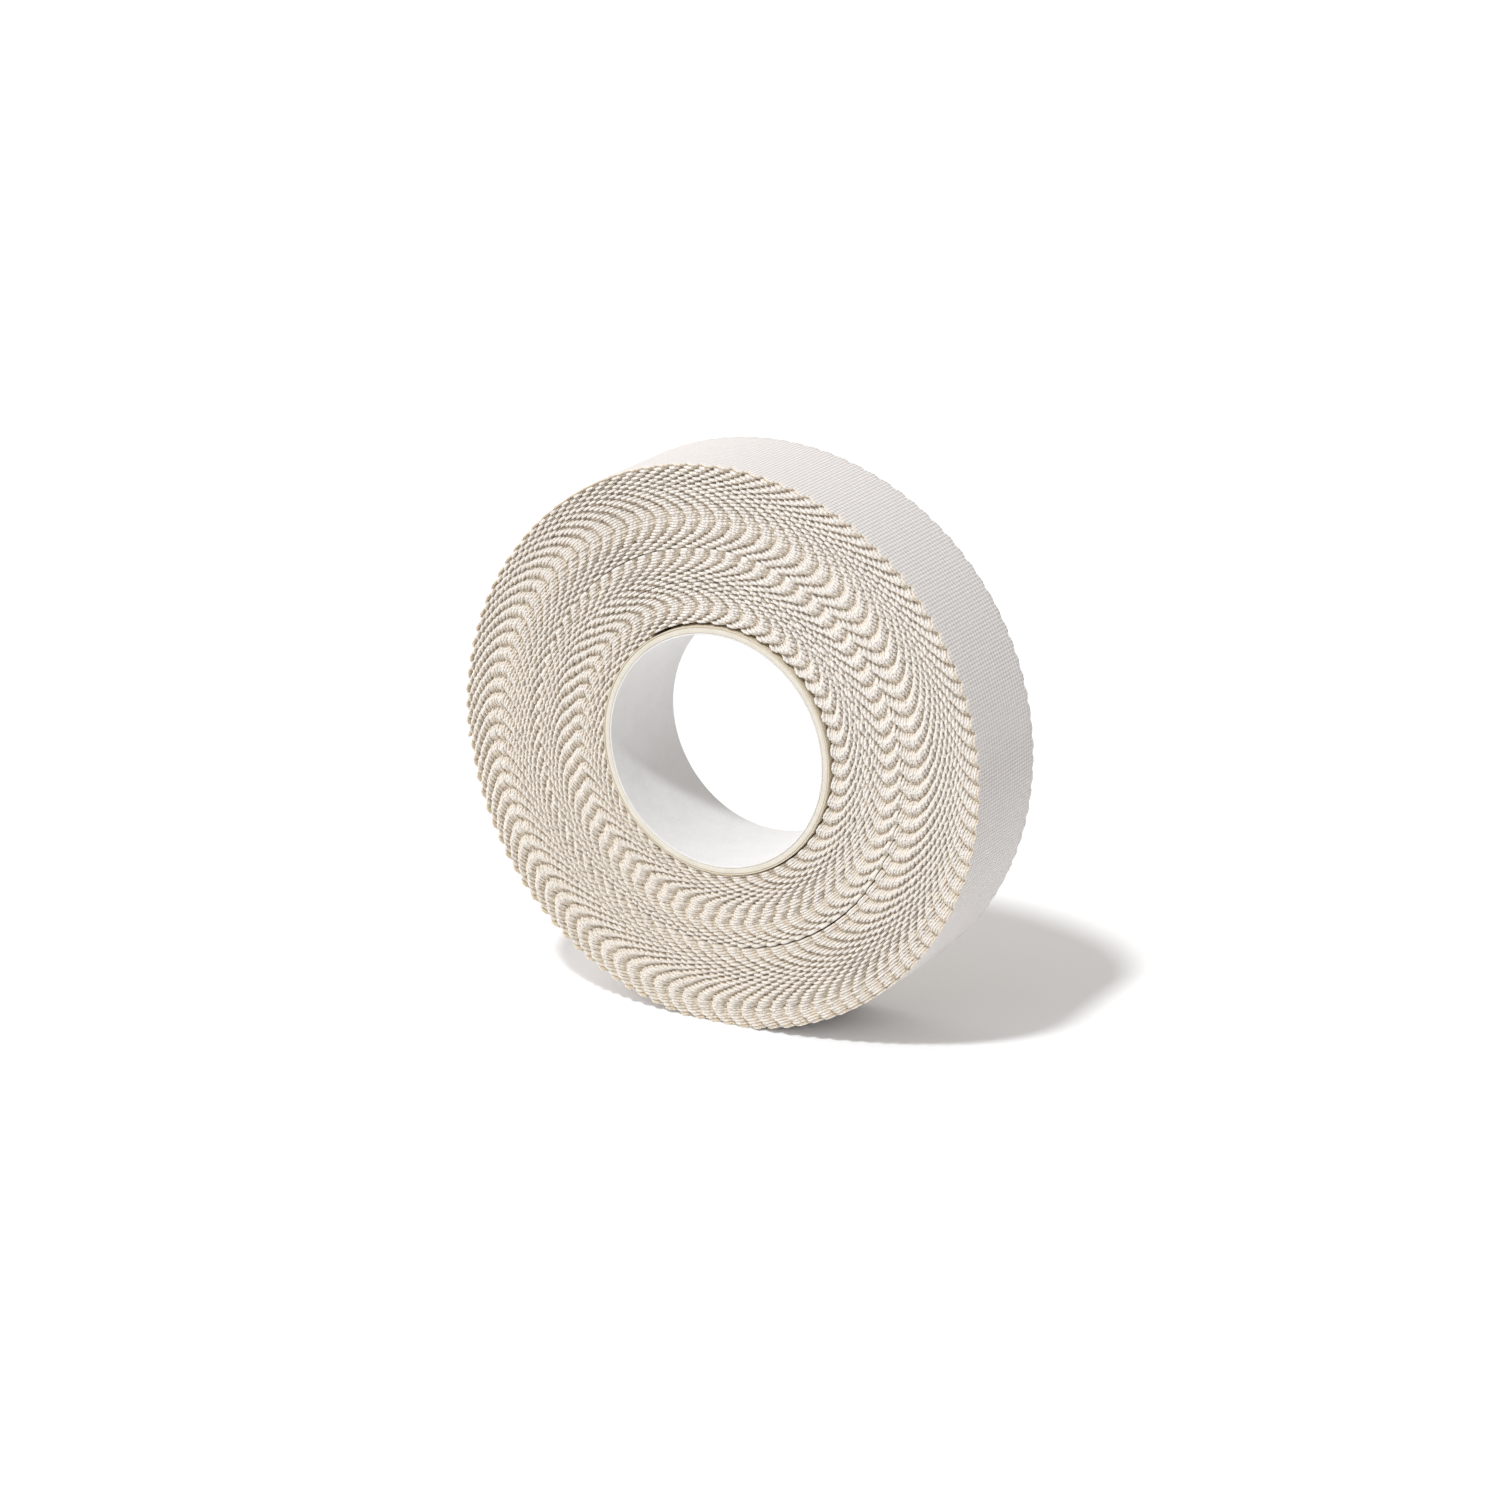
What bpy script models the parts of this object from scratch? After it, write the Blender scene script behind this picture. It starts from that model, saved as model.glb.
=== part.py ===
"""Roll of cotton grip tape with pinked edges, wound on a paper core and standing on its rim.

Frame: metres, +Z up. The roll's axis runs along Y, its front side faces -Y, and the origin is on
the surface that the roll stands on, straight below the axis. Seen from the front, the tape is
wound counter-clockwise from the core outwards. The last stretch of the outer turn is the free
end, cut into three stiff lengths that hinge on each other, so that it can be peeled off the roll.
"""

import math

import bmesh
import bpy
from mathutils import Matrix, Vector

MM = 0.001
TURN = 2.0 * math.pi

# Tape: woven cotton with a self-adhesive film on its inner side.
TAPE_WIDTH = 12.7 * MM            # tip to tip across the two pinked edges
CLOTH_THICKNESS = 0.18 * MM
ADHESIVE_THICKNESS = 0.052 * MM
PLY_GAP = 0.015 * MM              # clearance between two plies that lie on each other
TOOTH_PITCH = 1.74 * MM           # along the tape, from tip to tip
TOOTH_DEPTH = 0.70 * MM           # from a tip to the valley beside it

# Roll.
ROLL_RADIUS = 29.6 * MM           # outer radius at the free end
FREE_END_ANGLE = math.radians(186.0)   # from +X towards +Z
TAIL_SEGMENTS = ("base", "middle", "tip")
TAIL_SEGMENT_TEETH = 6
SEGMENT_GAP = 0.10 * MM           # between two lengths of the free end
FOOT_WIDTH = 6.6 * MM             # the stretch of rim that is pressed flat under the roll

# Core: three plies of paper.
CORE_BORE_RADIUS = 12.09 * MM
CORE_WIDTH = 12.7 * MM
LINER_THICKNESS = 0.18 * MM
BOARD_THICKNESS = 0.56 * MM
WRAP_THICKNESS = 0.16 * MM
CORE_CHAMFER = 0.05 * MM
CORE_STEPS = 96

# Sizes that follow.
LAYER_PITCH = CLOTH_THICKNESS + ADHESIVE_THICKNESS + 2.0 * PLY_GAP
TEETH_PER_TURN = round(TURN * ROLL_RADIUS / TOOTH_PITCH)
TOOTH_ANGLE = TURN / TEETH_PER_TURN
STATION_ANGLE = TOOTH_ANGLE / 2.0      # a station stands at each tip and each valley
TAIL_TEETH = TAIL_SEGMENT_TEETH * len(TAIL_SEGMENTS)
LINER_OUTER = CORE_BORE_RADIUS + LINER_THICKNESS
BOARD_INNER = LINER_OUTER + PLY_GAP
BOARD_OUTER = BOARD_INNER + BOARD_THICKNESS
WRAP_INNER = BOARD_OUTER + PLY_GAP
WRAP_OUTER = WRAP_INNER + WRAP_THICKNESS
WINDING_INNER = WRAP_OUTER + PLY_GAP

# Colours are linear red, green and blue.
FINISHES = {
    "cotton_cloth": ((0.80, 0.79, 0.77), 0.90),
    "tape_side": ((0.76, 0.69, 0.59), 0.92),
    "tape_adhesive": ((0.70, 0.58, 0.42), 0.55),
    "white_paper": ((0.82, 0.81, 0.80), 0.50),
    "cream_board": ((0.70, 0.63, 0.50), 0.60),
    "kraft_paper": ((0.50, 0.38, 0.24), 0.75),
}


def clear_scene():
    """Remove every object that the file holds."""
    for item in list(bpy.data.objects):
        bpy.data.objects.remove(item, do_unlink=True)


def finish(name):
    """Return the Principled material of one finish, made on its first use."""
    material = bpy.data.materials.get(name)
    if material is None:
        colour, roughness = FINISHES[name]
        material = bpy.data.materials.new(name)
        material.use_nodes = True
        shader = material.node_tree.nodes["Principled BSDF"]
        shader.inputs["Base Color"].default_value = (*colour, 1.0)
        shader.inputs["Roughness"].default_value = roughness
        shader.inputs["Metallic"].default_value = 0.0
    return material


def add_pivot(name, place, parent=None):
    """Add an empty at a place in the roll's own frame, which has the roll's axis at z = 0."""
    pivot = bpy.data.objects.new(name, None)
    pivot.empty_display_size = 2.0 * MM
    bpy.context.collection.objects.link(pivot)
    pivot["place"] = tuple(place)
    if parent is None:
        pivot.location = place
    else:
        pivot.parent = parent
        pivot.location = place - Vector(parent["place"])
    return pivot


def add_piece(name, mesh, finish_name, pivot):
    """Add a mesh that is built in the roll's own frame, with its origin on a pivot."""
    mesh.update()
    mesh.transform(Matrix.Translation(-Vector(pivot["place"])))
    mesh.shade_smooth()
    mesh.set_sharp_from_angle(angle=math.radians(25.0))
    mesh.materials.append(finish(finish_name))
    piece = bpy.data.objects.new(name, mesh)
    bpy.context.collection.objects.link(piece)
    piece.parent = pivot
    return piece


def rim_point(back, radius, y):
    """Return the point at a radius, where back is the angle from the free end against the winding."""
    angle = FREE_END_ANGLE - back
    return Vector((radius * math.cos(angle), y, radius * math.sin(angle)))


def tape_radius(back):
    """Return the tape's outer radius, which falls by one layer for each turn back."""
    return ROLL_RADIUS - LAYER_PITCH * back / TURN


def foot_level():
    """Return the distance from the roll's axis down to the flat that it stands on."""
    back = FREE_END_ANGLE + TURN / 4.0
    radius = tape_radius(back)
    return math.sqrt(radius ** 2 - (FOOT_WIDTH / 2.0) ** 2)


def foot_press(back):
    """Return how far the plies are pressed in towards the axis where the roll stands on its rim."""
    upright = -math.sin(FREE_END_ANGLE - back)
    reach = tape_radius(back) * upright
    if reach <= foot_level():
        return 0.0
    return (reach - foot_level()) / upright


def pinked_half_width(back):
    """Return half the tape's width, which runs straight from each tip to the valley beside it."""
    teeth = back / TOOTH_ANGLE
    from_tip = 2.0 * abs(teeth - round(teeth))
    return TAPE_WIDTH / 2.0 - TOOTH_DEPTH * from_tip


def station_angles(first_tooth, last_tooth):
    """Return the stations of a length of tape, with half a segment gap left at both ends."""
    trim = 0.5 * SEGMENT_GAP / ROLL_RADIUS
    first = round(first_tooth * 2)
    last = round(last_tooth * 2)
    angles = [index * STATION_ANGLE for index in range(first, last + 1)]
    angles[0] += trim
    angles[-1] -= trim
    return angles


def tape_length_mesh(name, angles, top_depth, thickness):
    """Return a closed strip of one ply, whose upper side lies top_depth below the tape's outside."""
    shell = bmesh.new()
    sections = []
    for back in angles:
        outer = tape_radius(back) - foot_press(back) - top_depth
        inner = outer - thickness
        half = pinked_half_width(back)
        corners = (
            rim_point(back, outer, -half),
            rim_point(back, outer, half),
            rim_point(back, inner, half),
            rim_point(back, inner, -half),
        )
        sections.append([shell.verts.new(corner) for corner in corners])
    for section, following in zip(sections, sections[1:]):
        for side in range(4):
            other = (side + 1) % 4
            shell.faces.new((section[side], section[other], following[other], following[side]))
    shell.faces.new(sections[0])
    shell.faces.new(list(reversed(sections[-1])))
    return finished_mesh(name, shell)


def finished_mesh(name, shell):
    """Turn a closed bmesh into a mesh of triangles with its faces pointing out."""
    bmesh.ops.recalc_face_normals(shell, faces=shell.faces)
    bmesh.ops.triangulate(shell, faces=shell.faces)
    mesh = bpy.data.meshes.new(name)
    shell.to_mesh(mesh)
    shell.free()
    return mesh


def tube_mesh(name, inner, outer, width, chamfer):
    """Return a tube along Y with chamfered ends, spun from its profile."""
    half = width / 2.0
    profile = (
        (inner + chamfer, -half),
        (outer - chamfer, -half),
        (outer, chamfer - half),
        (outer, half - chamfer),
        (outer - chamfer, half),
        (inner + chamfer, half),
        (inner, half - chamfer),
        (inner, chamfer - half),
    )
    shell = bmesh.new()
    corners = [shell.verts.new((radius, y, 0.0)) for radius, y in profile]
    edges = [
        shell.edges.new((corner, following))
        for corner, following in zip(corners, corners[1:] + corners[:1])
    ]
    bmesh.ops.spin(
        shell,
        geom=corners + edges,
        cent=(0.0, 0.0, 0.0),
        axis=(0.0, 1.0, 0.0),
        angle=TURN,
        steps=CORE_STEPS,
        use_merge=True,
    )
    return finished_mesh(name, shell)


def winding_mesh(name):
    """Return all the turns under the outer one as a ring whose outside is one turn of the spiral.

    The spiral comes back one layer lower, so the ring has a step one layer high at the free end's
    angle. The outer turn of the tape starts against that step.
    """
    half = TAPE_WIDTH / 2.0
    count = 2 * TEETH_PER_TURN
    shell = bmesh.new()
    inner = []
    outer = []
    for index in range(count):
        back = index * STATION_ANGLE
        inner.append([shell.verts.new(rim_point(back, WINDING_INNER, y)) for y in (-half, half)])
    for index in range(count + 1):
        back = index * STATION_ANGLE
        radius = tape_radius(back) - foot_press(back) - LAYER_PITCH
        outer.append([shell.verts.new(rim_point(back, radius, y)) for y in (-half, half)])
    for index in range(count):
        near = inner[index]
        far = inner[(index + 1) % count]
        rim = outer[index]
        next_rim = outer[index + 1]
        shell.faces.new((near[0], near[1], far[1], far[0]))
        shell.faces.new((rim[0], next_rim[0], next_rim[1], rim[1]))
        for side in (0, 1):
            if index > 0:
                shell.faces.new((near[side], far[side], next_rim[side], rim[side]))
            else:
                # The side beside the step also meets the foot of the step.
                foot = outer[count][side]
                shell.faces.new((next_rim[side], near[side], far[side]))
                shell.faces.new((next_rim[side], foot, near[side]))
                shell.faces.new((next_rim[side], rim[side], foot))
    shell.faces.new((outer[0][0], outer[0][1], outer[count][1], outer[count][0]))
    return finished_mesh(name, shell)


def build_core(roll_pivot):
    """Add the core's three plies."""
    plies = (
        ("core_liner_ply", CORE_BORE_RADIUS, LINER_OUTER, "white_paper"),
        ("core_board_ply", BOARD_INNER, BOARD_OUTER, "cream_board"),
        ("core_outer_ply", WRAP_INNER, WRAP_OUTER, "kraft_paper"),
    )
    for name, inner, outer, finish_name in plies:
        mesh = tube_mesh(name, inner, outer, CORE_WIDTH, CORE_CHAMFER)
        add_piece(name, mesh, finish_name, roll_pivot)


def build_tape_length(prefix, angles, pivot):
    """Add the cloth and the adhesive film of one length of tape."""
    cloth = tape_length_mesh(f"{prefix}_cloth", angles, 0.0, CLOTH_THICKNESS)
    add_piece(f"{prefix}_cloth", cloth, "cotton_cloth", pivot)
    film_depth = CLOTH_THICKNESS + PLY_GAP
    film = tape_length_mesh(f"{prefix}_adhesive", angles, film_depth, ADHESIVE_THICKNESS)
    add_piece(f"{prefix}_adhesive", film, "tape_adhesive", pivot)


def build_tape(roll_pivot):
    """Add the wound turns, the outer turn and the lengths of the free end on their hinges."""
    add_piece("tape_wound_turns", winding_mesh("tape_wound_turns"), "tape_side", roll_pivot)
    build_tape_length("outer_turn", station_angles(TAIL_TEETH, TEETH_PER_TURN), roll_pivot)
    hinge = roll_pivot
    for index, segment in enumerate(TAIL_SEGMENTS):
        last_tooth = TAIL_TEETH - index * TAIL_SEGMENT_TEETH
        first_tooth = last_tooth - TAIL_SEGMENT_TEETH
        back = last_tooth * TOOTH_ANGLE
        hinge_place = rim_point(back, tape_radius(back), 0.0)
        hinge = add_pivot(f"tail_{segment}_hinge", hinge_place, hinge)
        build_tape_length(f"tail_{segment}", station_angles(first_tooth, last_tooth), hinge)


def main():
    """Build the roll, standing on its foot."""
    clear_scene()
    roll_pivot = add_pivot("roll_axis", Vector((0.0, 0.0, 0.0)))
    roll_pivot.location = (0.0, 0.0, foot_level())
    build_core(roll_pivot)
    build_tape(roll_pivot)
    bpy.context.view_layer.update()


main()
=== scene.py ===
"""Roll of cotton grip tape with pinked edges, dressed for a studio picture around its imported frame.

The tape is one ribbon wound from the core outwards, so every turn is made as a real length of
ribbon along one spiral. All sizes are in metres. Angles are measured from +X towards +Z, seen
from the front side, which faces -Y. The angle called back runs from the free end against the
winding, towards the core.
"""
import logging
import math
from dataclasses import dataclass, field
from enum import Enum
from typing import Sequence

import bpy
import numpy as np
from mathutils import Matrix, Vector


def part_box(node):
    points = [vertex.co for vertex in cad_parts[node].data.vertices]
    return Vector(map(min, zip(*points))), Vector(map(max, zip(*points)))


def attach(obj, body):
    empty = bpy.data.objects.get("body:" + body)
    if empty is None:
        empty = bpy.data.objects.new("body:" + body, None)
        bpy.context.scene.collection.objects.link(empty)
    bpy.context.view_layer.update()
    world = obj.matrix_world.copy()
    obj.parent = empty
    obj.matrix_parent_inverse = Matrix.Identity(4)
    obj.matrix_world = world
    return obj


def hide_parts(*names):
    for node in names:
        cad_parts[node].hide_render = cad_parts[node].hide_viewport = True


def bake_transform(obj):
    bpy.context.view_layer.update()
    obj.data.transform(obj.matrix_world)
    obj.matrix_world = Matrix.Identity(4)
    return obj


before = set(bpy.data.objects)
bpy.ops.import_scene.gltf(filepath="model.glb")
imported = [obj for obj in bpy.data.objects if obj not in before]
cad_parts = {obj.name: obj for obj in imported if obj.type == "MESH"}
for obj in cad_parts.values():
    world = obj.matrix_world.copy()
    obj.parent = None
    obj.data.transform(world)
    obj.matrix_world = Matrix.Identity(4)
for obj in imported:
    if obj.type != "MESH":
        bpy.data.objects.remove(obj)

LOG = logging.getLogger("tape_roll")
MM = 0.001
TURN = 2.0 * math.pi
ROUND_CREASE = 65.0  # degrees between two faces above which the edge of a rounded piece is sharp
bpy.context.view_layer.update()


# ---------------------------------------------------------------------------
# Colours, nodes and meshes
# ---------------------------------------------------------------------------


def linear(hex_colour: str) -> tuple[float, float, float, float]:
    """Turn an sRGB hex colour into linear red, green, blue and an alpha of one.

    Args:
        hex_colour: six hex digits after a hash sign.

    Returns:
        The linear colour.
    """
    parts = [int(hex_colour[i:i + 2], 16) / 255.0 for i in (1, 3, 5)]
    red, green, blue = [p / 12.92 if p <= 0.04045 else ((p + 0.055) / 1.055) ** 2.4 for p in parts]
    return red, green, blue, 1.0


def add_node(tree: bpy.types.NodeTree, kind: str, inputs: dict | None = None,
             **settings: object) -> bpy.types.Node:
    """Add one node with its settings, its socket values and its links.

    Args:
        tree: the node tree that takes the node.
        kind: the node's type name.
        inputs: socket name or number to a value, or to an output socket that is linked to it, or
            to a node whose output in use is linked to it.
        settings: the node's own properties.

    Returns:
        The new node.
    """
    node = tree.nodes.new(kind)
    for name, value in settings.items():
        setattr(node, name, value)
    for key, value in (inputs or {}).items():
        if isinstance(value, bpy.types.Node):
            value = next(socket for socket in value.outputs if socket.enabled)
        if isinstance(value, bpy.types.NodeSocket):
            tree.links.new(value, node.inputs[key])
        else:
            node.inputs[key].default_value = value
    return node


def new_material(name: str) -> tuple[bpy.types.Material, bpy.types.NodeTree]:
    """Make an empty node material.

    Args:
        name: the real material's name.

    Returns:
        The material and its node tree.
    """
    material = bpy.data.materials.new(name)
    material.use_nodes = True
    material.node_tree.nodes.clear()
    return material, material.node_tree


def grid_mesh(name: str, points: np.ndarray, wrap_rows: bool, values: dict[str, np.ndarray],
              plan: np.ndarray, crease: float = ROUND_CREASE) -> bpy.types.Mesh:
    """Make a closed mesh from a grid of points whose columns go round a closed section.

    Args:
        name: the mesh's name.
        points: rows x columns x 3 places; each row is one closed section.
        wrap_rows: whether the last row joins the first, as round a ring.
        values: attribute name to rows x columns numbers.
        plan: rows x columns x 2 places along and across the material, in millimetres.
        crease: degrees between two faces above which their edge is sharp.

    Returns:
        The mesh, with its normals pointing out.
    """
    rows, columns = points.shape[:2]
    index = np.arange(rows * columns).reshape(rows, columns)
    ahead = np.roll(index, -1, axis=0) if wrap_rows else index[1:]
    here = index if wrap_rows else index[:-1]
    quads = np.stack(
        (here, np.roll(here, -1, axis=1), np.roll(ahead, -1, axis=1), ahead), axis=-1
    ).reshape(-1, 4)
    corners = quads.ravel()
    starts = np.arange(len(quads)) * 4
    if not wrap_rows:
        corners = np.concatenate((corners, index[0][::-1], index[-1]))
        starts = np.concatenate((starts, [len(quads) * 4, len(quads) * 4 + columns]))
    mesh = bpy.data.meshes.new(name)
    mesh.vertices.add(rows * columns)
    mesh.vertices.foreach_set("co", points.astype(np.float32).ravel())
    mesh.loops.add(len(corners))
    mesh.loops.foreach_set("vertex_index", corners.astype(np.int32))
    mesh.polygons.add(len(starts))
    mesh.polygons.foreach_set("loop_start", starts.astype(np.int32))
    mesh.update(calc_edges=True)
    for attribute, numbers in values.items():
        layer = mesh.attributes.new(attribute, "FLOAT", "POINT")
        layer.data.foreach_set("value", numbers.astype(np.float32).ravel())
    layer = mesh.uv_layers.new(name="plan")
    layer.data.foreach_set("uv", plan.reshape(-1, 2)[corners].astype(np.float32).ravel())
    mesh.shade_smooth()
    mesh.set_sharp_from_angle(angle=math.radians(crease))
    mesh.validate()
    if signed_volume(points, here, ahead) < 0.0:
        mesh.flip_normals()
    return mesh


def signed_volume(points: np.ndarray, here: np.ndarray, ahead: np.ndarray) -> float:
    """Return a grid's signed volume: the sum over its quads of their corners' triple products.

    Args:
        points: rows x columns x 3 places.
        here: vertex numbers of each strip's near section.
        ahead: vertex numbers of each strip's far section.

    Returns:
        The volume, which is negative if the faces point inwards.
    """
    flat = points.reshape(-1, 3)
    a, b = flat[here], flat[np.roll(here, -1, axis=1)]
    c, d = flat[np.roll(ahead, -1, axis=1)], flat[ahead]
    total = np.einsum("ijk,ijk->", a, np.cross(b, c)) + np.einsum("ijk,ijk->", a, np.cross(c, d))
    return float(total) / 6.0


def add_object(name: str, mesh: bpy.types.Mesh, material: bpy.types.Material) -> bpy.types.Object:
    """Link a mesh as an object at the origin.

    Args:
        name: the piece's name.
        mesh: its mesh, in the row frame.
        material: its finish.

    Returns:
        The new object.
    """
    mesh.materials.append(material)
    piece = bpy.data.objects.new(name, mesh)
    bpy.context.scene.collection.objects.link(piece)
    LOG.info("%s: %d faces", name, len(mesh.polygons))
    return piece


# ---------------------------------------------------------------------------
# The spiral
# ---------------------------------------------------------------------------


@dataclass(frozen=True)
class Spiral:
    """The tape's path: a spiral whose radius falls by one layer pitch for each turn back.

    The layer pitch sets where the teeth of neighbouring turns fall into step. So it is worked out
    from the radii at which they are in step, straight to the right of the axis. From one such
    radius to the next the winding has one turn more than the teeth that a turn loses, or as many
    where a slack turn makes up for it. A slack turn is one turn wound loosely. foot_fall is how
    much the winding's radius has fallen from the free end to the foot.
    """

    axis_height: float
    rim_radius: float = 29.6 * MM
    teeth_per_turn: int = 107
    free_end: float = math.radians(186.0)
    core_radius: float = 13.29 * MM
    foot_half: float = 3.3 * MM
    foot_depth: float = 6.0 * MM
    foot_fall: float = 0.2 * MM
    least_upright: float = 0.05
    in_step: tuple[float, ...] = (29.3 * MM, 22.0 * MM, 19.3 * MM, 14.0 * MM)
    extra_turns: tuple[int, ...] = (1, 0, 1)
    slack_radii: tuple[float, ...] = (20.95 * MM, 17.5 * MM)
    slack_pitches: tuple[float, ...] = (0.41 * MM, 0.33 * MM)
    path_points: int = 20001

    @property
    def tooth_pitch(self) -> float:
        """Return the way along the tape from tooth to tooth."""
        return TURN * self.rim_radius / self.teeth_per_turn

    def pitch_at(self, radius: np.ndarray) -> np.ndarray:
        """Work out the layer pitch at some radii.

        Between two radii in step, the pitch is the way between them, less its slack turns' pitch,
        divided by the number of its other turns.

        Args:
            radius: distances from the axis.

        Returns:
            The layer pitches.
        """
        slack_turns = tuple(zip(self.slack_radii, self.slack_pitches))
        pitch = np.zeros_like(radius)
        for outer, inner, extra in zip(self.in_step, self.in_step[1:], self.extra_turns):
            slack = [wide for middle, wide in slack_turns if inner < middle < outer]
            turns = TURN * (outer - inner) / self.tooth_pitch + extra - len(slack)
            even = (outer - inner - sum(slack)) / turns
            pitch = np.where((radius <= outer) | (pitch == 0.0), even, pitch)
        for middle, wide in slack_turns:
            pitch = np.where(np.abs(radius - middle) < 0.5 * wide, wide, pitch)
        return pitch

    def table(self) -> tuple[np.ndarray, np.ndarray, np.ndarray]:
        """Sum the path from the rim inwards.

        The angle back is the sum of 2 pi dr / pitch, and the length is the sum of radius times that.

        Returns:
            Radii falling from the rim to the core, with the angle back and the tape length at each.
        """
        radii = np.linspace(self.rim_radius, self.core_radius, self.path_points)
        middle = 0.5 * (radii[1:] + radii[:-1])
        turn = TURN * (radii[:-1] - radii[1:]) / self.pitch_at(middle)
        back = np.concatenate(([0.0], np.cumsum(turn)))
        length = np.concatenate(([0.0], np.cumsum(turn * middle)))
        return radii, back, length

    def press(self, angle: np.ndarray, radius: np.ndarray) -> np.ndarray:
        """Return how far a point is pressed in over the foot, fading with depth under the rim.

        Args:
            angle: place round the roll.
            radius: the unpressed radius of the tape's outside.

        Returns:
            The press, which brings the rim to a flat and dies away over foot_depth.
        """
        upright = np.maximum(-np.sin(angle), self.least_upright)
        rim = self.rim_radius - self.foot_fall
        sunk = np.maximum(rim * upright - math.sqrt(rim ** 2 - self.foot_half ** 2), 0.0) / upright
        fade = np.clip(1.0 - (rim - radius) / self.foot_depth, 0.0, 1.0)
        return sunk * fade


# ---------------------------------------------------------------------------
# Finishes
# ---------------------------------------------------------------------------


@dataclass(frozen=True)
class DashWeave:
    """A weave as rows of small dashes: a rib wave along the tape plus a warp wave across it.

    The ribs are as far apart as the real ones. The real threads along the tape are about 0.2 mm
    apart, too fine for the picture, so they are drawn more than twice as coarse. The slubs move
    both waves by up to wobble, in radians, and darken the cloth to slub_tone. The low parts of the
    waves are painted towards gap: painted shade in the hollows between the threads.
    """

    rib_mm: float = 0.39
    warp_mm: float = 0.52
    slub_mm: float = 0.63
    wobble: float = 1.1
    slub_tone: float = 0.95
    thread: str = "#FBF8F7"
    # Painted shade: the darker colour of the hollows between the threads.
    gap: str = "#D6CEC9"

    def make(self, tree: bpy.types.NodeTree, plan: bpy.types.Node) -> tuple[bpy.types.Node, bpy.types.Node]:
        """Add the weave's nodes, over a plan in which one unit is a millimetre.

        Args:
            tree: the material's node tree.
            plan: the node that gives the plan.

        Returns:
            The nodes of the weave's height and of its colour.
        """
        parts = add_node(tree, "ShaderNodeSeparateXYZ", {0: plan}).outputs
        slub = add_node(tree, "ShaderNodeTexNoise", {
            "Vector": plan, "Scale": 1.0 / self.slub_mm, "Detail": 3.0})
        wobble = add_node(tree, "ShaderNodeMath", {0: slub, 1: self.wobble}, operation="MULTIPLY")
        along = add_node(tree, "ShaderNodeMath", {0: parts[0], 1: TURN / self.rib_mm, 2: wobble},
                         operation="MULTIPLY_ADD")
        across = add_node(tree, "ShaderNodeMath", {0: parts[1], 1: TURN / self.warp_mm, 2: wobble},
                          operation="MULTIPLY_ADD")
        rib = add_node(tree, "ShaderNodeMath", {0: along}, operation="SINE")
        warp = add_node(tree, "ShaderNodeMath", {0: across}, operation="SINE")
        both = add_node(tree, "ShaderNodeMath", {0: warp, 1: rib}, operation="ADD")
        height = add_node(tree, "ShaderNodeMath", {0: both, 1: 0.25, 2: 0.5}, operation="MULTIPLY_ADD")
        # Painted shade: the weave's low parts are mixed towards the gap colour.
        cloth = add_node(tree, "ShaderNodeMix", {0: height, 6: linear(self.gap), 7: linear(self.thread)},
                         data_type="RGBA")
        tone = add_node(tree, "ShaderNodeMapRange", {0: slub, 1: 0.3, 2: 0.7, 3: self.slub_tone, 4: 1.0})
        colour = add_node(tree, "ShaderNodeMix", {0: 1.0, 6: cloth, 7: tone},
                          data_type="RGBA", blend_type="MULTIPLY")
        return height, colour


@dataclass(frozen=True)
class CottonCloth:
    """Woven rigid cotton, bleached: matt white, with ribs across the tape and threads along it.

    The weave gives the eye a fine grid of short dashes, with a soft unevenness from the slubs.
    """

    name: str = "bleached_cotton_cloth"
    weave: DashWeave = DashWeave()
    edge: str = "#ECE2D3"
    fuzz_mm: float = 0.07
    fuzz_share: float = 0.25
    relief_mm: float = 0.06

    def make(self) -> bpy.types.Material:
        """Put the weave's relief and colour on the cloth, and a plain cream on its cut edges.

        Returns:
            The material.
        """
        material, tree = new_material(self.name)
        plan = add_node(tree, "ShaderNodeUVMap", uv_map="plan")
        # The weave's colour carries painted shade in the hollows between its threads.
        height, cloth = self.weave.make(tree, plan)
        fuzz = add_node(tree, "ShaderNodeTexNoise", {
            "Vector": plan, "Scale": 1.0 / self.fuzz_mm, "Detail": 2.0})
        cut = add_node(tree, "ShaderNodeAttribute", attribute_name="cut").outputs["Fac"]
        colour = add_node(tree, "ShaderNodeMix", {0: cut, 6: cloth, 7: linear(self.edge)}, data_type="RGBA")
        relief = add_node(tree, "ShaderNodeMath", {0: fuzz, 1: self.fuzz_share, 2: height},
                          operation="MULTIPLY_ADD")
        bump = add_node(tree, "ShaderNodeBump", {
            "Height": relief, "Strength": 1.0, "Distance": self.relief_mm * MM})
        shader = add_node(tree, "ShaderNodeBsdfPrincipled", {
            "Base Color": colour, "Roughness": 0.92, "Specular IOR Level": 0.25,
            "Sheen Weight": 0.15, "Sheen Roughness": 0.6, "Normal": bump})
        add_node(tree, "ShaderNodeOutputMaterial", {"Surface": shader})
        return material


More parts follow.
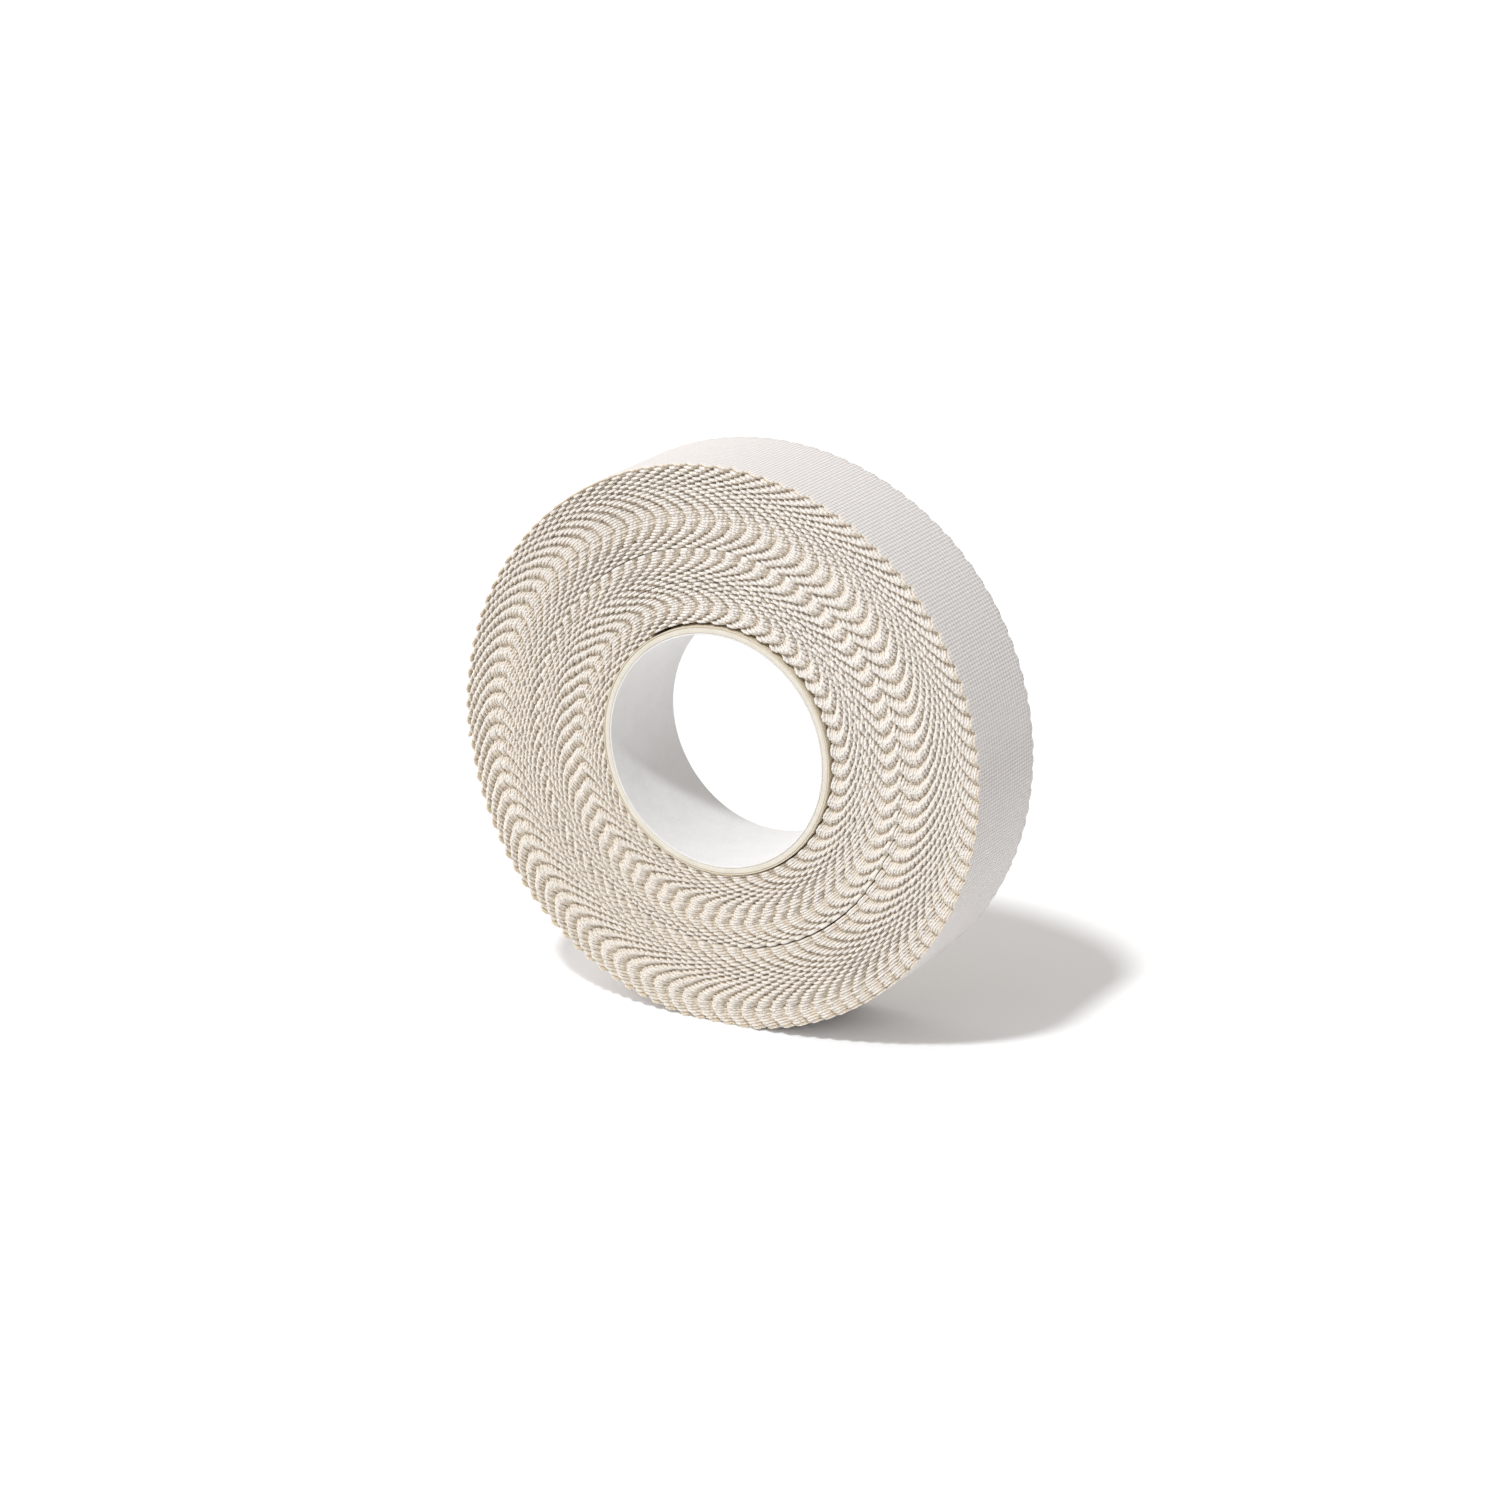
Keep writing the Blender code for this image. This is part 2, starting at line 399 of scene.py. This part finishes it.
@dataclass(frozen=True)
class WoundTapeSide:
    """The wound turns' cut edges: soft cream fibre, with a darker, more tan painted shade down the valleys.

    The tan of the adhesive between the turns, partly its real colour and partly painted shade in
    the groove between them, shows as thin lines, which gives the eye the layers, and the fibre
    noise gives it the fluff of cut cotton.
    """

    name: str = "pinked_cotton_edge"
    weave: DashWeave = DashWeave()
    cut_tip: str = "#EEE9E3"
    # Painted shade: the cut edge deep in a tooth's valley, darker and warmer than at the tip.
    cut_valley_shade: str = "#E8DDCD"
    underside: str = "#E1D5C4"
    fibre_mm: float = 0.14
    fibre_share: float = 0.5
    tip_bias: float = -0.4
    valley_shade_gain: float = 1.5
    glue_and_groove_shade_share: float = 0.75
    patch_mm: float = 2.2
    patch_tone: float = 0.94
    relief_mm: float = 0.04

    def make(self) -> bpy.types.Material:
        """Colour by how far a point is down a valley, as painted shade, how much it is cut edge and which
        ply it is on.

        Returns:
            The material.
        """
        material, tree = new_material(self.name)
        plan = add_node(tree, "ShaderNodeUVMap", uv_map="plan")
        cut = add_node(tree, "ShaderNodeAttribute", attribute_name="cut").outputs["Fac"]
        depth = add_node(tree, "ShaderNodeAttribute", attribute_name="depth").outputs["Fac"]
        ply = add_node(tree, "ShaderNodeAttribute", attribute_name="ply").outputs["Fac"]
        fibre = add_node(tree, "ShaderNodeTexNoise", {
            "Vector": plan, "Scale": 1.0 / self.fibre_mm, "Detail": 4.0, "Roughness": 0.7})
        patch = add_node(tree, "ShaderNodeTexNoise", {
            "Vector": plan, "Scale": 1.0 / self.patch_mm, "Detail": 1.0})
        uneven = add_node(tree, "ShaderNodeMath", {0: fibre, 1: self.fibre_share, 2: self.tip_bias},
                          operation="MULTIPLY_ADD")
        # Painted shade: the further down a valley, the more of the shade colour, broken by the fibre noise.
        valley_shade_share = add_node(tree, "ShaderNodeMath", {0: depth, 1: self.valley_shade_gain, 2: uneven},
                        operation="MULTIPLY_ADD")
        share = add_node(tree, "ShaderNodeClamp", {0: valley_shade_share})
        edge = add_node(tree, "ShaderNodeMix", {
            0: share, 6: linear(self.cut_tip), 7: linear(self.cut_valley_shade)}, data_type="RGBA")
        flat = add_node(tree, "ShaderNodeMapRange", {0: ply, 1: 0.55, 2: 0.95})
        # The weave's colour carries painted shade in the hollows between its threads.
        height, cloth = self.weave.make(tree, plan)
        sides = add_node(tree, "ShaderNodeMix", {0: flat, 6: cloth, 7: linear(self.underside)},
                         data_type="RGBA")
        colour = add_node(tree, "ShaderNodeMix", {0: cut, 6: sides, 7: edge}, data_type="RGBA")
        # Partly the adhesive's real tan and partly painted shade: the lower cut edge, in the groove between
        # turns, takes the underside colour.
        glue_and_groove_shade = add_node(tree, "ShaderNodeMapRange", {
            0: ply, 1: 0.62, 2: 0.95, 3: 0.0, 4: self.glue_and_groove_shade_share})
        colour = add_node(tree, "ShaderNodeMix", {0: glue_and_groove_shade, 6: colour, 7: linear(self.underside)},
                          data_type="RGBA")
        tone = add_node(tree, "ShaderNodeMapRange", {0: patch, 1: 0.3, 2: 0.7, 3: self.patch_tone, 4: 1.0})
        colour = add_node(tree, "ShaderNodeMix", {0: 1.0, 6: colour, 7: tone},
                          data_type="RGBA", blend_type="MULTIPLY")
        relief = add_node(tree, "ShaderNodeMix", {0: cut, 2: height, 3: fibre})
        bump = add_node(tree, "ShaderNodeBump", {
            "Height": relief, "Strength": 0.5, "Distance": self.relief_mm * MM})
        shader = add_node(tree, "ShaderNodeBsdfPrincipled", {
            "Base Color": colour, "Roughness": 0.88, "Specular IOR Level": 0.25,
            "Sheen Weight": 0.1, "Sheen Roughness": 0.5, "Normal": bump})
        add_node(tree, "ShaderNodeOutputMaterial", {"Surface": shader})
        return material


@dataclass(frozen=True)
class MottledFilm:
    """A plain sheet material with a soft mottle: adhesive, paper or board, each with its own sheen.

    The mottle is fine_share of the grain's noise and the rest of a coarser, cloudy noise, whose
    scale is cloud_scale of the grain's. The roughness varies with it by up to sheen_range.
    """

    name: str
    light: str
    dark: str
    roughness: float
    grain_mm: float
    relief_mm: float
    fine_share: float = 0.6
    cloud_scale: float = 0.12
    sheen_range: float = 0.06

    def make(self) -> bpy.types.Material:
        """Mix two tones by fine and coarse noise on Object coordinates.

        Returns:
            The material.
        """
        material, tree = new_material(self.name)
        place = add_node(tree, "ShaderNodeTexCoord").outputs["Object"]
        fine = add_node(tree, "ShaderNodeTexNoise", {
            "Vector": place, "Scale": 1.0 / (self.grain_mm * MM), "Detail": 4.0, "Roughness": 0.6})
        coarse = add_node(tree, "ShaderNodeTexNoise", {
            "Vector": place, "Scale": self.cloud_scale / (self.grain_mm * MM), "Detail": 2.0})
        cloudy = add_node(tree, "ShaderNodeMath", {0: coarse, 1: 1.0 - self.fine_share},
                          operation="MULTIPLY")
        both = add_node(tree, "ShaderNodeMath", {0: fine, 1: self.fine_share, 2: cloudy},
                        operation="MULTIPLY_ADD")
        share = add_node(tree, "ShaderNodeMapRange", {0: both, 1: 0.35, 2: 0.65})
        colour = add_node(tree, "ShaderNodeMix", {
            0: share, 6: linear(self.dark), 7: linear(self.light)}, data_type="RGBA")
        rough = add_node(tree, "ShaderNodeMapRange", {
            0: share, 3: self.roughness - self.sheen_range, 4: self.roughness + self.sheen_range})
        bump = add_node(tree, "ShaderNodeBump", {
            "Height": fine, "Strength": 0.4, "Distance": self.relief_mm * MM})
        shader = add_node(tree, "ShaderNodeBsdfPrincipled", {
            "Base Color": colour, "Roughness": rough, "Normal": bump})
        add_node(tree, "ShaderNodeOutputMaterial", {"Surface": shader})
        return material


# Zinc oxide adhesive, spread as a film: tan and slightly glossy, which gives the eye a tacky side.
ADHESIVE = MottledFilm(name="zinc_oxide_adhesive", light="#E9DCC8", dark="#DDCBAF",
                       roughness=0.55, grain_mm=0.5, relief_mm=0.02)
# Coated white paper: nearly smooth, so it gives the eye a clean pale bore with a weak sheen.
WHITE_PAPER = MottledFilm(name="coated_white_paper", light="#E9E8E7", dark="#E0DEDD",
                          roughness=0.45, grain_mm=0.25, relief_mm=0.006)
# Grey-cream chipboard: matt and fibrous, which gives the eye the core's cut end.
CREAM_BOARD = MottledFilm(name="cream_chipboard", light="#E3DDD1", dark="#D6CFC0",
                          roughness=0.65, grain_mm=0.18, relief_mm=0.02)
# Kraft paper: matt and darker than the board, which gives the eye a thin tan line round the core.
KRAFT_PAPER = MottledFilm(name="kraft_paper", light="#D9CEBB", dark="#C8BBA3",
                          roughness=0.75, grain_mm=0.2, relief_mm=0.02)


# ---------------------------------------------------------------------------
# Tape
# ---------------------------------------------------------------------------


@dataclass(frozen=True)
class Fineness:
    """How finely a length of tape is made: its stations, the points of its outside and its crease."""

    stations_per_rib: float
    points_across: int
    crease: float


class Weave(Enum):
    """A length's surface: plain, for the wound turns and films, or ribbed, for the outer cloth.

    A plain length's low crease angle keeps each step from yarn to yarn crisp.
    """

    PLAIN = Fineness(stations_per_rib=4.0, points_across=0, crease=38.0)
    RIBBED = Fineness(stations_per_rib=6.0, points_across=14, crease=ROUND_CREASE)


@dataclass
class Tape:
    """One ribbon of pinked cotton tape on the spiral.

    Its half width is W/2 - D f, where f runs from 0 at a tip to 1 at a valley as the arc cosine
    of a damped cosine, a triangle wave with rounded tips and valleys, raised to a power that makes
    the tips broad and the valleys narrow. Within one yarn the cut follows that outline by only
    yarn_follow. The teeth slip along the tape over slip_teeth teeth, and the whole tape wanders
    sideways over wander_teeth teeth.
    """

    spiral: Spiral
    width: float = 12.7 * MM
    cloth: float = 0.18 * MM
    film: float = 0.052 * MM
    gap: float = 0.015 * MM
    tooth_depth: float = 0.62 * MM
    back_share: float = 0.45
    tooth_round: float = 0.955
    valley_sharpness: float = 1.6
    edge_round: float = 0.10 * MM
    wander: float = 0.05 * MM
    wander_teeth: float = 14.0
    tooth_slip: float = 0.07 * MM
    slip_teeth: float = 7.0
    tooth_uneven: float = 0.12
    yarn_round: float = 0.075 * MM
    yarn_follow: float = 0.45
    yarn_fray: float = 0.035 * MM
    longest_fray: float = 1.6
    fray: float = 0.010 * MM
    fray_up: float = 0.6
    rib: float = 0.39 * MM
    rib_relief: float = 0.006 * MM
    end_gap: float = 0.3
    spare_teeth: int = 40
    most_yarns_per_tooth: int = 5
    seed: int = 11
    radii: np.ndarray = field(init=False)
    backs: np.ndarray = field(init=False)
    lengths: np.ndarray = field(init=False)
    tooth_noise: np.ndarray = field(init=False)
    drift: np.ndarray = field(init=False)
    yarn_noise: np.ndarray = field(init=False)

    def __post_init__(self) -> None:
        """Work out the path's table and the seeded unevenness of the teeth."""
        self.radii, self.backs, self.lengths = self.spiral.table()
        random = np.random.default_rng(self.seed)
        count = int(self.lengths[-1] / self.spiral.tooth_pitch) + self.spare_teeth
        self.tooth_noise = random.normal(0.0, 1.0, count)
        self.drift = random.normal(0.0, 1.0, count)
        yarns = random.normal(0.0, 1.0, count * self.most_yarns_per_tooth)
        self.yarn_noise = np.clip(yarns, -self.longest_fray, self.longest_fray)

    def length_at(self, back: float) -> float:
        """Return the tape length from the free end at an angle back."""
        return float(np.interp(back, self.backs, self.lengths))

    def valley(self, length: np.ndarray) -> np.ndarray:
        """Return f, which is 0 at a tooth's tip and 1 at the valley beside it.

        Args:
            length: tape lengths from the free end.

        Returns:
            The values of f.
        """
        wave = self.tooth_round * np.cos(TURN * length / self.spiral.tooth_pitch)
        top = math.acos(self.tooth_round)
        return ((np.arccos(wave) - top) / (math.pi - 2.0 * top)) ** self.valley_sharpness

    def half_width(self, length: np.ndarray, share: float) -> np.ndarray:
        """Return half the width, which steps from yarn to yarn.

        The cut follows the threads: each weft yarn, one rib wide, ends where the tooth's outline
        has it at the yarn's middle, a little longer or shorter than the next, with a round end
        that falls away as the square of the way from its middle.

        Args:
            length: tape lengths from the free end.
            share: how much of the teeth's depth this edge has.

        Returns:
            The half widths.
        """
        yarn = np.floor(length / self.rib)
        middle = (yarn + 0.5) * self.rib
        off = (length - middle) / (0.5 * self.rib)
        tooth = middle / self.spiral.tooth_pitch
        noise = np.interp(tooth, np.arange(len(self.tooth_noise)), self.tooth_noise)
        slow = length / (self.slip_teeth * self.spiral.tooth_pitch)
        slip = self.tooth_slip * np.interp(slow, np.arange(len(self.drift)), self.drift[::-1])
        followed = middle + self.yarn_follow * (length - middle) + slip
        cut = share * self.tooth_depth * self.valley(followed) * (1.0 + self.tooth_uneven * noise)
        loose = self.yarn_fray * self.yarn_noise[yarn.astype(int)]
        return 0.5 * self.width - cut - loose - self.yarn_round * off ** 2

    def sideways(self, length: np.ndarray) -> np.ndarray:
        """Return how far the ribbon lies towards the back, which wanders slowly along the tape."""
        slow = length / (self.wander_teeth * self.spiral.tooth_pitch)
        return self.wander * np.interp(slow, np.arange(len(self.drift)), self.drift)

    def section(self, across: int, depth_top: float, thickness: float) -> tuple[np.ndarray, ...]:
        """Return a closed section of the ribbon, which goes round it with rounded cut edges.

        Down a cut edge the outline bulges by edge_round times the sine of pi times the way down.

        Args:
            across: how many points its outside has between the two edges.
            depth_top: how far its outside lies below the tape's outside.
            thickness: its thickness.

        Returns:
            For each point: side (-1 front, 1 back, or a share between), inset from the edge, depth
            below the tape's outside, cut (1 on the cut edge) and ply (0 outside, 1 underside).
        """
        turn = np.array([0.0, 0.3, 0.7, 1.0])
        inset = self.edge_round * (1.0 - np.sin(math.pi * turn))
        cut = np.array([0.2, 1.0, 1.0, 0.5])
        middle = np.linspace(-1.0, 1.0, across + 2)[1:-1]
        side = np.concatenate(([-1.0] * 4, [1.0] * 4, middle[::-1]))
        insets = np.concatenate((inset, inset[::-1], np.zeros(across)))
        plies = np.concatenate((turn, turn[::-1], np.zeros(across)))
        cuts = np.concatenate((cut, cut[::-1], np.zeros(across)))
        return side, insets, depth_top + thickness * plies, cuts, plies

    def ribbon(self, name: str, start: float, end: float, weave: Weave, depth_top: float,
               thickness: float, swell: float = 0.0) -> bpy.types.Mesh:
        """Make a closed length of ribbon.

        Each station is a section at radius r(s) and angle free_end - back(s). Its two cut edges
        stand at plus and minus the half width, and a ribbed length adds a low sine along it.

        Args:
            name: the mesh's name.
            start: tape length from the free end to its near end.
            end: tape length from the free end to its far end.
            weave: how fine it is.
            depth_top: how far its outside lies below the tape's outside.
            thickness: its thickness.
            swell: how much of the room under it, where the winding is slack, its edge fluffs into.

        Returns:
            The mesh.
        """
        fineness = weave.value
        step = self.rib / fineness.stations_per_rib
        first = math.ceil(start / step + self.end_gap)
        last = math.floor(end / step - self.end_gap)
        inside = np.arange(first, last + 1) * step
        length = np.concatenate(([start], inside, [end]))
        count = len(length) - 1
        back = np.interp(length, self.lengths, self.backs)
        radius = np.interp(length, self.lengths, self.radii)
        angle = self.spiral.free_end - back
        room = np.maximum(self.spiral.pitch_at(radius) - thickness - self.gap, 0.0)
        radius = radius - self.spiral.press(angle, radius)
        side, inset, depth, cut, ply = self.section(fineness.points_across, depth_top, thickness)
        own_seed = self.seed + int(start / MM * 7.0) + int(depth_top / MM * 1000.0)
        random = np.random.default_rng(own_seed)
        frayed = random.normal(0.0, self.fray, (2, count + 1, len(side))) * cut
        front = self.half_width(length, 1.0)[:, None]
        rear = self.half_width(length, self.back_share)[:, None]
        half = front + (rear - front) * 0.5 * (1.0 + side[None, :])
        edge = half - inset[None, :] + frayed[0]
        y = side[None, :] * edge + self.sideways(length)[:, None]
        out = radius[:, None] - depth[None, :] - swell * room[:, None] * ply[None, :]
        out = out + self.fray_up * frayed[1]
        if weave is Weave.RIBBED:
            ribs = self.rib_relief * np.sin(TURN * length / self.rib)
            out = out + ribs[:, None] * (ply == 0.0)[None, :]
        points = np.stack((
            out * np.cos(angle)[:, None], y,
            np.maximum(out * np.sin(angle)[:, None] + self.spiral.axis_height, 0.0)), axis=-1)
        shape = points.shape[:2]
        values = {
            "cut": np.broadcast_to(cut, shape),
            "ply": np.broadcast_to(ply, shape),
            "depth": np.broadcast_to(self.valley(length)[:, None], shape),
        }
        plan = np.stack((np.broadcast_to(length[:, None] / MM, shape), y / MM), axis=-1)
        return grid_mesh(name, points, False, values, plan, fineness.crease)


@dataclass
class WoundTurns:
    """All the turns under the outer one, in pieces of equal tape length.

    Where the winding is slack, the cut edge fluffs into swell of the room under it.
    """

    tape: Tape
    finish: bpy.types.Material
    pieces: int = 9
    swell: float = 0.85

    def build(self) -> list[bpy.types.Object]:
        """Make the turns from the outer turn's start to the core.

        Returns:
            The pieces, from the rim inwards.
        """
        tape = self.tape
        first = tape.length_at(TURN)
        last = float(tape.lengths[-1])
        marks = np.linspace(first, last, self.pieces + 1)
        made = []
        for number in range(self.pieces):
            name = f"wound_turns_{number + 1}"
            mesh = tape.ribbon(name, marks[number], marks[number + 1], Weave.PLAIN, 0.0,
                               tape.cloth + tape.film, swell=self.swell)
            made.append(add_object(name, mesh, self.finish))
            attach(made[-1], "roll")
        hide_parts("tape_wound_turns")
        return made


@dataclass
class OuterTape:
    """The outer turn and the free end: cloth and adhesive film, with the free end in three lengths."""

    tape: Tape
    cloth_finish: bpy.types.Material
    film_finish: bpy.types.Material
    hinge_teeth: tuple[int, int, int] = (18, 12, 6)
    seam_teeth: tuple[int, int, int, int] = (21, 15, 9, 0)
    bend_teeth: float = 2.2
    film_clearance: float = 0.004 * MM

    def back_of(self, tooth: float) -> float:
        """Return the angle back of a tooth, counted from the free end."""
        return tooth * TURN / self.tape.spiral.teeth_per_turn

    def place(self, tooth: float) -> tuple[float, float, float]:
        """Work out where the middle of the tape's outside is at a tooth.

        Args:
            tooth: a tooth, counted from the free end.

        Returns:
            Its place.
        """
        back = self.back_of(tooth)
        radius = float(np.interp(back, self.tape.backs, self.tape.radii))
        angle = self.tape.spiral.free_end - back
        return radius * math.cos(angle), 0.0, radius * math.sin(angle) + self.tape.spiral.axis_height

    def pair(self, name: str, near: float, far: float) -> tuple[bpy.types.Object, bpy.types.Object]:
        """Make the cloth and the film of one length.

        Args:
            name: start of both pieces' names.
            near: tooth at its end nearer the free end.
            far: tooth at its other end.

        Returns:
            The cloth and the film.
        """
        tape = self.tape
        start, end = tape.length_at(self.back_of(near)), tape.length_at(self.back_of(far))
        cloth = tape.ribbon(name + "_cloth", start, end, Weave.RIBBED, 0.0, tape.cloth)
        film = tape.ribbon(name + "_adhesive", start, end, Weave.PLAIN,
                           tape.cloth + self.film_clearance, tape.film)
        pieces = (add_object(name + "_cloth", cloth, self.cloth_finish),
                  add_object(name + "_adhesive", film, self.film_finish))
        return pieces

    def declare(self, cloth: bpy.types.Object, film: bpy.types.Object, near: float, far: float,
                rests_on: str) -> None:
        """Work out a length's flat length along the roll, which nothing uses.

        Args:
            cloth: the length's cloth; not used.
            film: its adhesive film, which goes with it; not used.
            near: tooth at its end nearer the free end.
            far: tooth at its other end.
            rests_on: name of the piece that it lies on; not used.
        """
        tape = self.tape
        flat_length = tape.length_at(self.back_of(far)) - tape.length_at(self.back_of(near))

    def build(self) -> None:
        """Make the outer turn, which stays on the roll, and the free end in three lengths."""
        last = self.tape.spiral.teeth_per_turn
        cloth, film = self.pair("outer_turn_wrap", self.seam_teeth[0], last)
        for piece in (cloth, film):
            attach(piece, "roll")
        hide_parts("outer_turn_cloth")
        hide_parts("outer_turn_adhesive")
        self.declare(cloth, film, self.seam_teeth[0], last, "wound_turns_1")
        bodies = ("roll", "tail_base", "tail_middle", "tail_tip")
        for number, hinge in enumerate(self.hinge_teeth):
            far, near = self.seam_teeth[number], self.seam_teeth[number + 1]
            body = bodies[number + 1]
            pieces = self.pair("free_end_" + body.removeprefix("tail_"), near, far)
            for piece in pieces:
                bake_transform(piece)
            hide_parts(body + "_cloth")
            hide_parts(body + "_adhesive")
            self.declare(*pieces, near, far, "wound_turns_1")


# ---------------------------------------------------------------------------
# Core
# ---------------------------------------------------------------------------


@dataclass
class Core:
    """The paper core: three plies, each a tube turned from a profile with rounded ends.

    Each ply is given by its node, its finish and its corner radius, and each end wave by its
    height, its number of waves round the tube and its start in radians.
    """

    axis_height: float
    finishes: dict[str, bpy.types.Material]
    bore_radius: float = 12.09 * MM
    clearance: float = 0.015 * MM
    plies: tuple[tuple[str, str, float], ...] = (
        ("core_liner_ply", "white_paper", 0.07 * MM),
        ("core_board_ply", "cream_board", 0.10 * MM),
        ("core_outer_ply", "kraft_paper", 0.05 * MM))
    end_waves: tuple[tuple[float, float, float], ...] = ((0.02 * MM, 3.0, 0.7), (0.012 * MM, 7.0, 0.0))
    corner_points: int = 5
    steps: int = 288

    def tube(self, node: str, radii: tuple[float, float], half: float, round_off: float) -> bpy.types.Mesh:
        """Turn a ply from its profile: a rectangle whose four corners are quarter circles.

        Both ends rise and fall along the tube by the sum of the end waves' sines.

        Args:
            node: the ply's name.
            radii: its inner and outer radius.
            half: half its length.
            round_off: the corner radius.

        Returns:
            The mesh.
        """
        inner, outer = radii
        quarter = np.linspace(0.0, 0.5 * math.pi, self.corner_points)
        corners = ((outer - round_off, half - round_off, 0.0), (inner + round_off, half - round_off, 0.5),
                   (inner + round_off, round_off - half, 1.0), (outer - round_off, round_off - half, 1.5))
        profile = np.concatenate([
            np.stack((r + round_off * np.cos(quarter + s * math.pi),
                      y + round_off * np.sin(quarter + s * math.pi)), axis=-1)
            for r, y, s in corners])
        angle = np.linspace(0.0, TURN, self.steps, endpoint=False)
        wave = sum(height * np.sin(count * angle + start) for height, count, start in self.end_waves)
        y = profile[None, :, 1] + wave[:, None] * np.sign(profile[None, :, 1])
        points = np.stack((profile[None, :, 0] * np.cos(angle)[:, None], y,
                           profile[None, :, 0] * np.sin(angle)[:, None] + self.axis_height), axis=-1)
        plan = np.stack((np.broadcast_to(angle[:, None] * outer / MM, y.shape), y / MM), axis=-1)
        return grid_mesh(node, points, True, {}, plan)

    def build(self) -> None:
        """Make the white liner, the cream board and the kraft outer ply where their nodes are."""
        bore = self.bore_radius
        for node, slot, round_off in self.plies:
            low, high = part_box(node)
            outer = 0.5 * (high.x - low.x)
            mesh = self.tube(node, (bore, outer), 0.5 * (high.y - low.y), round_off)
            piece = add_object(node.removesuffix("_ply") + "_tube", mesh, self.finishes[slot])
            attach(piece, "roll")
            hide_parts(node)
            bore = outer + self.clearance


# ---------------------------------------------------------------------------
# Studio
# ---------------------------------------------------------------------------


@dataclass(frozen=True)
class Studio:
    """A white floor, soft light from all round and one key light from the front, high up.

    The soft light is stronger from the left: left_bias is how much of it changes from the middle
    to either side. backdrop is how bright the surroundings look to the camera itself.
    """

    centre: Vector
    key_from: tuple[float, float, float] = (-0.078, -0.58, 1.0)
    key_colour: tuple[float, float, float] = (0.97, 1.0, 1.02)
    key_strength: float = 1.90
    key_spread: float = math.radians(6.0)
    sky: float = 0.65
    sky_colour: tuple[float, float, float, float] = (1.0, 0.97, 0.945, 1.0)
    left_bias: float = 0.85
    backdrop: float = 1.05
    floor_colour: str = "#FBFBFB"
    floor_reach: float = 12.0
    azimuth: float = 0.50699
    elevation: float = 0.31823
    distance: float = 473.6 * MM
    lens: float = 111.96
    sensor: float = 36.0
    near_clip: float = 0.01
    far_clip: float = 50.0
    middle_right: float = -0.00294
    middle_down: float = -0.01031

    def camera(self) -> None:
        """Put the camera at its angle.

        The roll's middle stands middle_right and middle_down from the centre, as shares of the
        frame's width, which is distance * sensor / lens wide at the roll.
        """
        data = bpy.data.cameras.new("camera")
        data.lens = self.lens
        data.sensor_width = self.sensor
        data.clip_start = self.near_clip
        data.clip_end = self.far_clip
        data.dof.use_dof = False
        sin_a, cos_a = math.sin(self.azimuth), math.cos(self.azimuth)
        sin_e, cos_e = math.sin(self.elevation), math.cos(self.elevation)
        away = Vector((sin_a * cos_e, -cos_a * cos_e, sin_e))
        right = Vector((cos_a, sin_a, 0.0))
        up = away.cross(right)
        frame_width = self.distance * self.sensor / self.lens
        place = (self.centre + away * self.distance - right * (self.middle_right * frame_width)
                 + up * (self.middle_down * frame_width))
        camera = bpy.data.objects.new("camera", data)
        camera.matrix_world = Matrix.Translation(place) @ Matrix((right, up, away)).transposed().to_4x4()
        bpy.context.scene.collection.objects.link(camera)
        bpy.context.scene.camera = camera

    def lights(self) -> None:
        """Add the key light and the even white surroundings."""
        data = bpy.data.lights.new("key", "SUN")
        data.energy = self.key_strength
        data.angle = self.key_spread
        data.color = self.key_colour
        key = bpy.data.objects.new("key", data)
        key.rotation_euler = Vector(self.key_from).to_track_quat("Z", "Y").to_euler()
        bpy.context.scene.collection.objects.link(key)
        world = bpy.data.worlds.new("studio")
        world.use_nodes = True
        tree = world.node_tree
        tree.nodes.clear()
        seen = add_node(tree, "ShaderNodeLightPath").outputs["Is Camera Ray"]
        way = add_node(tree, "ShaderNodeTexCoord").outputs["Generated"]
        side = add_node(tree, "ShaderNodeSeparateXYZ", {0: way}).outputs[0]
        glow = add_node(tree, "ShaderNodeMath", {0: side, 1: -self.sky * self.left_bias, 2: self.sky},
                        operation="MULTIPLY_ADD")
        strength = add_node(tree, "ShaderNodeMapRange", {0: seen, 3: glow, 4: self.backdrop})
        sky = add_node(tree, "ShaderNodeBackground", {"Color": self.sky_colour, "Strength": strength})
        add_node(tree, "ShaderNodeOutputWorld", {"Surface": sky})
        bpy.context.scene.world = world
        bpy.context.scene.view_settings.view_transform = "Standard"

    def floor(self) -> None:
        """Lay a wide pale floor, which is one square."""
        material, tree = new_material("white_studio_paper")
        shader = add_node(tree, "ShaderNodeBsdfPrincipled", {
            "Base Color": linear(self.floor_colour), "Roughness": 1.0, "Specular IOR Level": 0.0})
        add_node(tree, "ShaderNodeOutputMaterial", {"Surface": shader})
        mesh = bpy.data.meshes.new("floor")
        reach = self.floor_reach
        corners = [(-reach, -reach, 0.0), (reach, -reach, 0.0), (reach, reach, 0.0), (-reach, reach, 0.0)]
        mesh.from_pydata(corners, [], [(0, 1, 2, 3)])
        add_object("floor", mesh, material)

    def build(self) -> None:
        """Set up the camera, the lights and the floor."""
        self.camera()
        self.lights()
        self.floor()


def main() -> None:
    """Dress the frame.
    """
    logging.basicConfig(level=logging.INFO, format="%(name)s %(message)s")
    low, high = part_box("core_liner_ply")
    axis_height = 0.5 * (low.z + high.z)
    Studio(centre=Vector((0.0, 0.0, axis_height))).build()
    tape = Tape(Spiral(axis_height=axis_height))
    cloth = CottonCloth().make()
    side = WoundTapeSide().make()
    film = ADHESIVE.make()
    papers = {
        "white_paper": WHITE_PAPER.make(),
        "cream_board": CREAM_BOARD.make(),
        "kraft_paper": KRAFT_PAPER.make(),
    }
    WoundTurns(tape, side).build()
    OuterTape(tape, cloth, film).build()
    Core(axis_height, papers).build()


if __name__ == "__main__":
    main()
